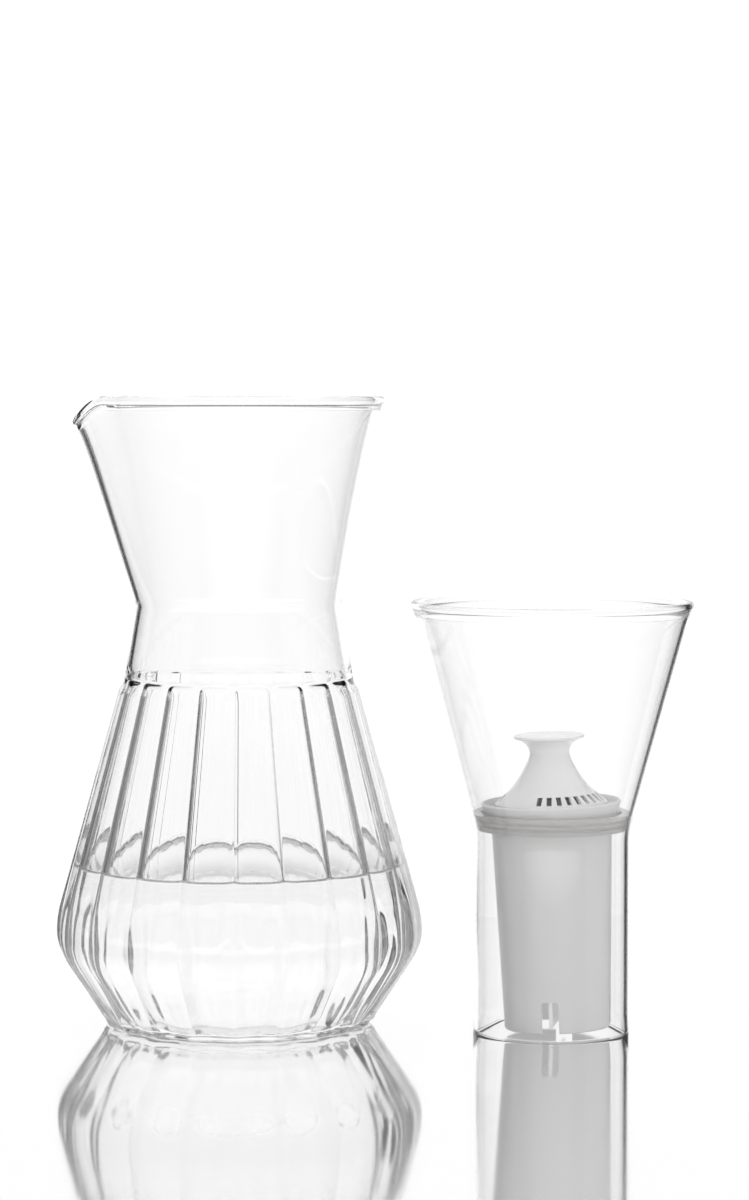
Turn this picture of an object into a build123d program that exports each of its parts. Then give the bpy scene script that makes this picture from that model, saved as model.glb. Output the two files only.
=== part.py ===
"""Glass filter carafe with its lift-out funnel and drop-in cartridge.

Millimetres, +Z up. The origin is the centre of the carafe's flat base. The pouring lip points to -X.
The funnel stands beside the carafe, on its own tube.
"""

from build123d import *
import os
from math import cos, pi, sin

os.makedirs("parts", exist_ok=True)

# Carafe body: a double cone, smooth outside and fluted inside
BASE_R = 52.0
HEEL_Z = 3.0
BELLY_R = 77.3
BELLY_Z = 39.0
BELLY_TOP_Z = 52.0
BELLY_LOW_Z = 27.0
LOWER_SLOPE = 0.66
UPPER_SLOPE = 0.276
BELLY_STEPS = 6
FLUTES = 20
FLUTE_TOP_Z = 146.6
STEP_H = 2.5
STEP_IN = 1.1
RIB_PROUD = 0.033
RIB_FOOT_PROUD = 0.0045
RIB_FOOT_PART = 0.34
RIB_TIP_PART = 0.04
RIB_FADED = 0.05
RIB_LEDGE = 0.3
RIB_RUNOUT = 4.0

# Carafe neck, waist and drawn lip
WAIST_R = 43.1
WAIST_Z = 177.0
CARAFE_H = 265.0
NECK_FLARE = 0.166
NECK_CURL = 5.6e-6
KEEL_SLOPE = 0.3125
KEEL_CURL = 1.8
KEEL_CURL_POWER = 8
LIP_HALF_ANGLE = 36.0
LIP_DROP = 9.0
LIP_REACH = 6.0
NECK_ROWS = 6
NECK_POINTS = 36

# Glass
CARAFE_WALL = 2.1
CARAFE_FLOOR = 4.5
FLOOR_CORNER_R = 9.0
FLOOR_CORNER_REACH = 10.0
CORNER_ROWS = 3
RIM_BEAD_R = 1.9
BEAD_START = 40.0
BEAD_ROWS = 6
RIM_STEPS = 30
FUNNEL_WALL = 1.9
FUNNEL_BEAD_R = 1.7

# Fits
LOOSE = 0.3
SNUG = 0.15

# Filter cartridge: cup and flange
FLANGE_R = 29.2
FLANGE_TAPER = 1.7
FLANGE_OVERHANG = 2.2
FLANGE_T = 5.5
FLANGE_FOOT_R = FLANGE_R - FLANGE_TAPER
CUP_TOP_R = FLANGE_FOOT_R - FLANGE_OVERHANG
CUP_TAPER = 3.1
CUP_FOOT_R = CUP_TOP_R - CUP_TAPER
CUP_FOOT_Z = 2.3
CUP_H = 87.7
CUP_TOP_Z = CUP_FOOT_Z + CUP_H
CUP_WALL = 1.5
FLANGE_Z = CUP_TOP_Z + FLANGE_T
RIM_T = 1.2
CHANNEL_DEPTH = 1.6
CHANNEL_W = 4.5
NOTCHES = 4
NOTCH_W = 6.7
NOTCH_H = 12.9
NOTCH_TURN = -10.5
FIN_T = 1.5
FIN_GAP = 2.0
DRAIN_PLATE = 1.6
DRAIN_RISE = 14.2
DRAIN_Z = CUP_FOOT_Z + DRAIN_RISE
DRAIN_HOLES = 8
DRAIN_HOLE_R = 1.5
DRAIN_HOLE_PART = 0.55
CARTRIDGE_TILT = 1.9
SCREEN_T = 0.4
BED_GAP = 6.0

# Filter cartridge: bell and knob
BELL_FOOT_R = FLANGE_R - RIM_T - CHANNEL_W
BELL_T = 1.5
MOUTH_LEDGE = 1.5
MOUTH_R = BELL_FOOT_R - BELL_T - MOUTH_LEDGE
BELL_BAND_H = 1.3
BELL_RISE = (5.3, 9.0, 13.5, 17.5, 21.0, 24.0, 26.5)
BELL_WAIST_R = 8.2
BELL_SPREAD = (9.5, 6.4, 3.3, 1.0, 0.0, 0.4, 3.0)
KNOB_R = 14.75
KNOB_RISE = 27.1
KNOB_LIP = 1.9
KNOB_DISH = 1.1
SLOT_W = 2.1
SLOT_RISE = 1.4
SLOT_H = 3.1
SLOT_PITCH = 11.25
SLOTS_PER_GROUP = 11
SLOT_START = -106.0

# Funnel, where it stands and its shape
FUNNEL_X = 131.1
FUNNEL_Y = -18.5
RING_LIP = 1.2
TUBE_R = FLANGE_R + LOOSE + RING_LIP + FUNNEL_WALL
THROAT_DROP = 5.5
TUBE_TOP_Z = CUP_TOP_Z - THROAT_DROP
SHOULDER_H = 8.0
SHOULDER_Z = TUBE_TOP_Z + SHOULDER_H
CONE_SLOPE = 0.2736
FUNNEL_H = 180.0

# Seat ring
RING_FOOT = 0.5
RING_H = 7.0
RING_LOW_Z = TUBE_TOP_Z + RING_FOOT
RING_TOP_Z = RING_LOW_Z + RING_H
RING_GROOVES = 2
GROOVE_DEPTH = 0.7


def disc_stack(profile):
    """A solid of revolution about Z from (r, z) points joined by straight lines."""
    with BuildPart() as turned:
        with BuildSketch(Plane.XZ):
            with BuildLine():
                Polyline(*profile, close=True)
            make_face()
        revolve(axis=Axis.Z)
    return turned.part


def bead(radius, z, thickness):
    """A fire-polished ring of round section."""
    with BuildPart() as ring:
        with BuildSketch(Plane.XZ):
            with Locations((radius, z)):
                Circle(thickness)
        revolve(axis=Axis.Z)
    return ring.part


def polar(radius, angle, z):
    """A point at the given radius, angle in degrees and height."""
    return (radius * cos(angle * pi / 180), radius * sin(angle * pi / 180), z)


# Carafe


def body_radius(z):
    """Radius over the ridges at height z: two cones with a rounded belly between."""
    lower = BELLY_R - LOWER_SLOPE * (BELLY_LOW_Z - z) - LOWER_SLOPE * (BELLY_Z - BELLY_LOW_Z) / 2
    upper = BELLY_R - UPPER_SLOPE * (z - BELLY_TOP_Z) - UPPER_SLOPE * (BELLY_TOP_Z - BELLY_Z) / 2
    if z <= BELLY_LOW_Z:
        return lower
    if z >= BELLY_TOP_Z:
        return upper
    if z < BELLY_Z:
        below = (BELLY_Z - z) / (BELLY_Z - BELLY_LOW_Z)
        return BELLY_R - LOWER_SLOPE * (BELLY_Z - BELLY_LOW_Z) / 2 * below**2
    above = (z - BELLY_Z) / (BELLY_TOP_Z - BELLY_Z)
    return BELLY_R - UPPER_SLOPE * (BELLY_TOP_Z - BELLY_Z) / 2 * above**2


def body_heights():
    """Heights that draw the body's wall, closest together round the belly."""
    low = [BELLY_LOW_Z + i * (BELLY_Z - BELLY_LOW_Z) / BELLY_STEPS * 2 for i in range(BELLY_STEPS // 2)]
    high = [BELLY_Z + i * (BELLY_TOP_Z - BELLY_Z) / BELLY_STEPS * 2 for i in range(BELLY_STEPS // 2 + 1)]
    return low + high


def body_outside():
    """The smooth outside of the body up to its step, solid."""
    step_z = FLUTE_TOP_Z - STEP_H
    profile = [(0, 0), (BASE_R, 0)]
    profile += [(body_radius(z), z) for z in [HEEL_Z] + body_heights() + [step_z]]
    profile += [(body_radius(FLUTE_TOP_Z) - STEP_IN, FLUTE_TOP_Z), (0, FLUTE_TOP_Z)]
    return disc_stack(profile)


def neck_radius(z):
    """Radius of the round part of the neck at height z above the waist."""
    rise = z - WAIST_Z
    return WAIST_R + NECK_FLARE * rise + NECK_CURL * rise**3


def keel_radius(z):
    """Reach of the lip's keel at height z: straight, then curling outwards at the rim."""
    rise = z - WAIST_Z
    curl = KEEL_CURL * (rise / (CARAFE_H - LIP_DROP - WAIST_Z)) ** KEEL_CURL_POWER
    return WAIST_R + KEEL_SLOPE * rise + curl


def lip_window(angle):
    """1 on the keel of the lip, falling smoothly to 0 where the lip meets the round neck."""
    off = abs(angle - 180) / LIP_HALF_ANGLE
    return (1 + cos(pi * off)) / 2 if off < 1 else 0


def neck_point(angle, z, inset):
    """A point of the neck's wall, the drawn lip included, inset from the outer face."""
    reach = max(keel_radius(z) - neck_radius(z), 0)
    return Vector(*polar(neck_radius(z) + reach * lip_window(angle) - inset, angle, z))


def rim_height(x):
    """Height of the rim's centre line at x: level, then dipping over the lip."""
    dip_start = LIP_REACH - neck_radius(CARAFE_H)
    fall = min(max((dip_start - x) / (2 * LIP_REACH), 0), 1)
    return CARAFE_H - RIM_BEAD_R - LIP_DROP * fall**1.5


def rim_z(angle):
    """Height at which the wall's middle meets the rim's centre line."""
    z = CARAFE_H - RIM_BEAD_R
    for _ in range(RIM_STEPS):
        z = (z + rim_height(neck_point(angle, z, CARAFE_WALL / 2).X)) / 2
    return z


def wall_row(part, inset):
    """A loop round the neck at a part of the way from the waist to the rim's bead."""
    row = []
    for i in range(NECK_POINTS):
        angle = 360 * i / NECK_POINTS
        top = rim_z(angle) - RIM_BEAD_R * sin(BEAD_START * pi / 180)
        row.append(neck_point(angle, WAIST_Z + part * (top - WAIST_Z), inset))
    return row


def bead_row(turn):
    """A loop along the rim's bead at a turn in degrees about its centre line, 0 outwards."""
    row = []
    for i in range(NECK_POINTS):
        angle = 360 * i / NECK_POINTS
        z = rim_z(angle)
        out = CARAFE_WALL / 2 - RIM_BEAD_R * cos(turn * pi / 180)
        row.append(neck_point(angle, z, out) + Vector(0, 0, RIM_BEAD_R * sin(turn * pi / 180)))
    return row


def make_neck():
    """The neck's wall with its drawn lip, skinned up the inside, over the bead and down outside."""
    parts = [(i + 1) / NECK_ROWS for i in range(NECK_ROWS)]
    turns = [180 + BEAD_START - i * (180 + 2 * BEAD_START) / BEAD_ROWS for i in range(BEAD_ROWS + 1)]
    rows = [wall_row(part, CARAFE_WALL) for part in parts]
    rows += [bead_row(turn) for turn in turns]
    rows += [wall_row(part, 0) for part in reversed(parts)]
    waist = Plane.XY.offset(WAIST_Z)
    loops = [Wire.make_circle(WAIST_R - CARAFE_WALL, waist)]
    loops += [Wire([Edge.make_spline(row, periodic=True)]) for row in rows]
    loops += [Wire.make_circle(WAIST_R, waist)]
    skin = Shell.make_loft(loops, ruled=True)
    foot = Face(loops[-1], [loops[0]])
    return Solid(Shell([*skin.faces(), foot]))


def collar(inset):
    """The plain round stretch between the step and the waist."""
    smooth = body_radius(FLUTE_TOP_Z) - STEP_IN
    profile = [(0, FLUTE_TOP_Z), (smooth - inset, FLUTE_TOP_Z)]
    profile += [(WAIST_R - inset, WAIST_Z), (0, WAIST_Z)]
    return disc_stack(profile)


def ribbed_section(z, radius, proud):
    """A closed outline of broad shallow channels with a slender rib between each pair."""
    pitch = 360 / FLUTES
    foot = radius * (1 - RIB_FOOT_PROUD * proud)
    tip = radius * (1 - RIB_PROUD * proud)
    with BuildSketch(Plane.XY.offset(z)) as section:
        with BuildLine():
            for flute in range(FLUTES):
                rib = flute * pitch
                off_tip = polar(tip, rib + RIB_TIP_PART * pitch / 2, 0)
                start = polar(foot, rib + RIB_FOOT_PART * pitch / 2, 0)
                middle = polar(radius, rib + pitch / 2, 0)
                end = polar(foot, rib + pitch - RIB_FOOT_PART * pitch / 2, 0)
                next_tip = polar(tip, rib + pitch - RIB_TIP_PART * pitch / 2, 0)
                far_tip = polar(tip, rib + pitch + RIB_TIP_PART * pitch / 2, 0)
                Line(off_tip[:2], start[:2])
                ThreePointArc(start[:2], middle[:2], end[:2])
                Line(end[:2], next_tip[:2])
                Line(next_tip[:2], far_tip[:2])
        make_face()
    return section.sketch


def floor_corner():
    """Sections of the cavity's rounded corner, from the floor up, its ribs growing out of it."""
    sections = []
    for row in range(CORNER_ROWS + 1):
        turn = pi / 2 * (1 - row / CORNER_ROWS)
        z = CARAFE_FLOOR + FLOOR_CORNER_R * (1 - sin(turn))
        radius = body_radius(z) - CARAFE_WALL - FLOOR_CORNER_REACH * (1 - cos(turn))
        sections.append(ribbed_section(z, radius, max(cos(turn), RIB_FADED)))
    return sections


def ribbed_cavity():
    """The fluted inside of the body, from the floor to the top of the flutes."""
    sections = floor_corner()
    for z in body_heights() + [FLUTE_TOP_Z - RIB_RUNOUT]:
        sections.append(ribbed_section(z, body_radius(z) - CARAFE_WALL, 1))
    top = body_radius(FLUTE_TOP_Z) - STEP_IN - CARAFE_WALL - RIB_LEDGE
    sections.append(ribbed_section(FLUTE_TOP_Z, top, RIB_FADED))
    return loft(sections, ruled=True)


def make_carafe():
    """The glass vessel."""
    outside = body_outside() + collar(0)
    inside = ribbed_cavity() + collar(CARAFE_WALL)
    return (outside - inside) + make_neck()


# Funnel


def funnel_profile(inset):
    """Radius and height along the funnel's wall, inset from the outer face."""
    cone_foot = TUBE_R + CONE_SLOPE * (SHOULDER_Z - TUBE_TOP_Z)
    top_z = FUNNEL_H - FUNNEL_BEAD_R
    return [
        (TUBE_R - inset, TUBE_TOP_Z),
        (cone_foot - inset, SHOULDER_Z),
        (cone_foot + CONE_SLOPE * (top_z - SHOULDER_Z) - inset, top_z),
    ]


def make_funnel():
    """The glass funnel: tube, shoulder, cone and two fire-polished edges."""
    edge = FUNNEL_WALL / 2
    outer = [(TUBE_R, edge)] + funnel_profile(0)
    inner = [(TUBE_R - FUNNEL_WALL, edge)] + funnel_profile(FUNNEL_WALL)
    wall = disc_stack(outer + inner[::-1])
    rim_r = (outer[-1][0] + inner[-1][0]) / 2
    foot = bead(TUBE_R - edge, edge, edge)
    return wall + foot + bead(rim_r, FUNNEL_H - FUNNEL_BEAD_R, FUNNEL_BEAD_R)


def cup_radius(z):
    """Outer radius of the tapered cup at height z."""
    return CUP_FOOT_R + (CUP_TOP_R - CUP_FOOT_R) * (z - CUP_FOOT_Z) / (CUP_TOP_Z - CUP_FOOT_Z)


def make_seal_ring():
    """The silicone seat ring: pressed in the throat, stepped inside to take the flange."""
    low_r = TUBE_R - FUNNEL_WALL
    high_r = low_r + CONE_SLOPE * (RING_TOP_Z - TUBE_TOP_Z)
    bore = cup_radius(CUP_TOP_Z) + LOOSE
    seat_z = CUP_TOP_Z - LOOSE - FLANGE_FOOT_R * sin(CARTRIDGE_TILT * pi / 180)
    step_r = FLANGE_FOOT_R + 2 * LOOSE
    body = [(bore, RING_LOW_Z), (low_r + CONE_SLOPE * (RING_LOW_Z - TUBE_TOP_Z), RING_LOW_Z)]
    body += [(high_r, RING_TOP_Z), (FLANGE_R + LOOSE, RING_TOP_Z), (step_r, seat_z), (bore, seat_z)]
    ring = disc_stack(body)
    for groove in range(RING_GROOVES):
        z = RING_LOW_Z + (groove + 1) * RING_H / (RING_GROOVES + 1)
        wall = low_r + CONE_SLOPE * (z - TUBE_TOP_Z)
        cut = [(wall - GROOVE_DEPTH, z), (wall + GROOVE_DEPTH, z - 2 * GROOVE_DEPTH)]
        ring -= disc_stack(cut + [(wall + GROOVE_DEPTH, z + 2 * GROOVE_DEPTH)])
    return ring


# Cartridge


def make_cup():
    """The tapered cup: flange with a channel, drain floor on fins, and a notched skirt."""
    channel_z = FLANGE_Z - CHANNEL_DEPTH
    outer = [(cup_radius(CUP_FOOT_Z), CUP_FOOT_Z), (cup_radius(CUP_TOP_Z), CUP_TOP_Z)]
    outer += [(FLANGE_FOOT_R, CUP_TOP_Z), (FLANGE_R, FLANGE_Z), (FLANGE_R - RIM_T, FLANGE_Z)]
    inner = [(FLANGE_R - RIM_T, channel_z), (MOUTH_R, channel_z), (MOUTH_R, CUP_TOP_Z)]
    inner += [(cup_radius(CUP_TOP_Z) - CUP_WALL, CUP_TOP_Z)]
    foot_r = cup_radius(CUP_FOOT_Z) - CUP_WALL
    shell = disc_stack(outer + inner + [(foot_r, CUP_FOOT_Z)])
    plate = disc_stack(
        [
            (0, DRAIN_Z - DRAIN_PLATE),
            (cup_radius(DRAIN_Z - DRAIN_PLATE) - CUP_WALL / 2, DRAIN_Z - DRAIN_PLATE),
            (cup_radius(DRAIN_Z) - CUP_WALL / 2, DRAIN_Z),
            (0, DRAIN_Z),
        ]
    )
    fin_h = DRAIN_Z - DRAIN_PLATE - CUP_FOOT_Z - FIN_GAP
    fin = Pos(0, 0, DRAIN_Z - DRAIN_PLATE - fin_h / 2) * Box(2 * (foot_r + CUP_WALL / 2), FIN_T, fin_h)
    notch_reach = 2 * (CUP_TOP_R - foot_r) + CUP_WALL
    notch = Pos(CUP_TOP_R, 0, CUP_FOOT_Z + NOTCH_H / 2) * Box(notch_reach, NOTCH_W, NOTCH_H)
    cup = shell + plate
    for turn in range(NOTCHES):
        cup -= Rot(0, 0, NOTCH_TURN + turn * 360 / NOTCHES) * notch
    for turn in range(NOTCHES // 2):
        cup += Rot(0, 0, NOTCH_TURN + turn * 360 / NOTCHES) * fin
    drain = Pos(0, 0, DRAIN_Z) * Cylinder(DRAIN_HOLE_R, 4 * DRAIN_PLATE)
    for hole in range(DRAIN_HOLES):
        turn = 360 / DRAIN_HOLES * (hole + 0.5)
        cup -= Rot(0, 0, turn) * Pos(DRAIN_HOLE_PART * foot_r, 0, 0) * drain
    return cup


def bell_wall():
    """Radius and height up the bell's outer face to the knob."""
    heights = [FLANGE_Z + rise for rise in BELL_RISE]
    radii = [BELL_WAIST_R + spread for spread in BELL_SPREAD]
    return [(BELL_FOOT_R, FLANGE_Z + BELL_BAND_H)] + list(zip(radii, heights))


def make_cap():
    """The cap: a concave bell on a band, slotted round its foot, under a dished knob."""
    foot_z = FLANGE_Z - CHANNEL_DEPTH
    inner_r = BELL_FOOT_R - BELL_T
    knob_z = FLANGE_Z + KNOB_RISE
    with BuildPart() as cap:
        with BuildSketch(Plane.XZ):
            with BuildLine():
                outside = bell_wall()
                shoulder, neck = outside[1], outside[3]
                Polyline((inner_r, foot_z), (BELL_FOOT_R, foot_z), outside[0])
                Spline(*outside)
                knob = [outside[-1], (KNOB_R, knob_z), (KNOB_R, knob_z + KNOB_LIP)]
                knob += [(KNOB_R - BELL_T, knob_z + KNOB_LIP), (0, knob_z + KNOB_LIP - KNOB_DISH)]
                throat = [(0, neck[1]), (neck[0] - BELL_T, neck[1])]
                Polyline(*knob, *throat)
                inner = [(shoulder[0] - BELL_T, shoulder[1] - BELL_T / 2)]
                inner += [(inner_r, outside[0][1] - BELL_T / 2)]
                Polyline(throat[-1], *inner, (inner_r, foot_z))
            make_face()
        revolve(axis=Axis.Z)
    reach = BELL_FOOT_R - shoulder[0] + 3 * BELL_T
    slot_z = FLANGE_Z + SLOT_RISE + SLOT_H / 2
    cutter = Pos((BELL_FOOT_R + shoulder[0]) / 2, 0, slot_z) * Box(reach, SLOT_W, SLOT_H)
    shape = cap.part
    for group in range(2):
        for slot in range(SLOTS_PER_GROUP):
            turn = SLOT_START + 180 * group + SLOT_PITCH * slot
            shape -= Rot(0, 0, turn) * cutter
    return shape


def plug(low, high, clearance):
    """A tapered disc that fills the cup between two heights."""
    low_r = cup_radius(low) - CUP_WALL - clearance
    high_r = cup_radius(high) - CUP_WALL - clearance
    return disc_stack([(0, low), (low_r, low), (high_r, high), (0, high)])


def make_outlet_screen():
    """Fine mesh on the drain floor."""
    return plug(DRAIN_Z, DRAIN_Z + SCREEN_T, SNUG)


def make_media():
    """The granule bed between the two screens."""
    return plug(DRAIN_Z + SCREEN_T + SNUG, CUP_TOP_Z - BED_GAP, SNUG)


def make_inlet_screen():
    """Fine mesh over the cup's mouth, under the bell."""
    low = FLANGE_Z - CHANNEL_DEPTH
    radius = MOUTH_R + MOUTH_LEDGE - SNUG
    return disc_stack([(0, low), (radius, low), (radius, low + SCREEN_T), (0, low + SCREEN_T)])


def main():
    """Build each piece in place and write it."""
    beside = Pos(FUNNEL_X, FUNNEL_Y, 0)
    seated = beside * Pos(0, 0, CUP_TOP_Z) * Rot(0, -CARTRIDGE_TILT, 0) * Pos(0, 0, -CUP_TOP_Z)
    pieces = {
        "carafe_glass": make_carafe(),
        "funnel_glass": beside * make_funnel(),
        "seal_ring": beside * make_seal_ring(),
        "filter_cup": seated * make_cup(),
        "filter_cap": seated * make_cap(),
        "inlet_screen": seated * make_inlet_screen(),
        "filter_media": seated * make_media(),
        "outlet_screen": seated * make_outlet_screen(),
    }
    for name, shape in pieces.items():
        export_step(shape, f"parts/{name}.step")


main()
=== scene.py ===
"""Looks for the filter carafe: blown glass, still water, and the white cartridge."""

import logging
import math
from dataclasses import dataclass, field
from enum import Enum
from typing import Callable, Sequence

import bpy
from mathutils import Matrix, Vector


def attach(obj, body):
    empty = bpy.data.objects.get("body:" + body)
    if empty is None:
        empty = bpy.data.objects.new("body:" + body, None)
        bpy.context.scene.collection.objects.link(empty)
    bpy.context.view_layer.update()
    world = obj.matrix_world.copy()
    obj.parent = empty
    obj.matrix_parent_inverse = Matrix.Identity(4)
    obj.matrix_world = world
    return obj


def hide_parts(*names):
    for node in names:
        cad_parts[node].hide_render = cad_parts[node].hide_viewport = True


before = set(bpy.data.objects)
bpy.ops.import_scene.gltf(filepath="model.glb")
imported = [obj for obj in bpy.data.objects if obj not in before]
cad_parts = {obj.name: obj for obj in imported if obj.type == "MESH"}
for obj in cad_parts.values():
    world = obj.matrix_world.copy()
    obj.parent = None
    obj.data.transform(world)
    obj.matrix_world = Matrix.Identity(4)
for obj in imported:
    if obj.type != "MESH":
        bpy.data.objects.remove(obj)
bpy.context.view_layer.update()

logging.basicConfig(level=logging.INFO, format="%(message)s")
log = logging.getLogger("carafe")

MM = 0.001
Point = tuple[float, float, float]
Loop = list[Point]


class Ior(Enum):
    """Refractive indices of the clear materials."""

    GLASS = 1.47
    WATER = 1.333


@dataclass(frozen=True)
class CarafeSize:
    """Sizes of the carafe in millimetres."""

    flutes: int = 20
    base_r: float = 52.0
    heel_z: float = 3.0
    belly_r: float = 77.3
    belly_z: float = 39.0
    belly_top_z: float = 52.0
    belly_low_z: float = 27.0
    lower_slope: float = 0.66
    upper_slope: float = 0.276
    flute_top_z: float = 146.6
    step_h: float = 6.0
    step_in: float = 1.1
    rib_proud: float = 0.034
    rib_power_low: float = 2.3
    rib_power_high: float = 3.7
    ripple_low: float = 1.3
    ripple_high: float = 0.55
    rib_round: float = 0.35
    panel_corner_r: float = 3.2
    waist_r: float = 43.1
    waist_z: float = 177.0
    height: float = 265.0
    neck_flare: float = 0.166
    neck_curl: float = 5.6e-6
    keel_slope: float = 0.3125
    keel_curl: float = 1.8
    keel_curl_power: float = 8.0
    lip_half_angle: float = 36.0
    lip_drop: float = 9.0
    lip_reach: float = 6.0
    wall: float = 2.1
    floor: float = 4.5
    floor_corner_r: float = 9.0
    floor_corner_reach: float = 10.0
    bead_r: float = 1.9


@dataclass(frozen=True)
class FunnelSize:
    """Sizes of the funnel in millimetres, and where it stands."""

    x: float = 131.1
    y: float = -18.5
    tube_r: float = 32.6
    tube_top_z: float = 84.5
    shoulder_z: float = 92.5
    cone_slope: float = 0.2736
    height: float = 180.0
    wall: float = 1.9
    bead_r: float = 1.7
    throat_round: float = 6.0


class Skin:
    """A closed surface made of rows of points, each row a loop about an axis."""

    def __init__(self, name: str) -> None:
        self.name = name
        self.rows: list[Loop] = []

    def add(self, row: Loop) -> None:
        """Add one loop of points.

        Args:
            row: points in millimetres, as many in every loop.
        """
        self.rows.append(row)

    def build(self, poles: tuple[Point, Point] | None = None) -> bpy.types.Object:
        """Join the loops with quads and close both ends.

        Args:
            poles: the first and last centre points; without them the rows close on themselves.

        Returns:
            The new object, with smooth faces.
        """
        count = len(self.rows[0])
        points = [Vector(p) * MM for row in self.rows for p in row]
        faces: list[tuple[int, ...]] = []
        last = len(self.rows) - 1
        spans = range(last) if poles else range(last + 1)
        for i in spans:
            low, high = i * count, (i + 1) % (last + 1) * count
            for j in range(count):
                k = (j + 1) % count
                faces.append((low + j, low + k, high + k, high + j))
        if poles:
            first = len(points)
            points += [Vector(poles[0]) * MM, Vector(poles[1]) * MM]
            for j in range(count):
                k = (j + 1) % count
                faces.append((first, k, j))
                faces.append((first + 1, last * count + j, last * count + k))
        mesh = bpy.data.meshes.new(self.name)
        mesh.from_pydata([tuple(p) for p in points], [], faces)
        mesh.validate()
        mesh.shade_smooth()
        thing = bpy.data.objects.new(self.name, mesh)
        bpy.context.scene.collection.objects.link(thing)
        log.info("%s: %d points, %d faces", self.name, len(mesh.vertices), len(mesh.polygons))
        return thing


def around(radius: float, z: float, angles: Sequence[float], x: float = 0.0, y: float = 0.0) -> Loop:
    """A round loop.

    Args:
        radius: radius in millimetres.
        z: height in millimetres.
        angles: angles in degrees.
        x: centre.
        y: centre.

    Returns:
        The loop's points.
    """
    turns = [math.radians(a) for a in angles]
    return [(x + radius * math.cos(a), y + radius * math.sin(a), z) for a in turns]


def spread(low: float, high: float, count: int) -> list[float]:
    """Evenly spaced numbers from low to high, both included."""
    return [low + (high - low) * i / (count - 1) for i in range(count)]


def ease(value: float) -> float:
    """A smooth step from 0 to 1."""
    value = min(max(value, 0.0), 1.0)
    return value * value * (3 - 2 * value)


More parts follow.
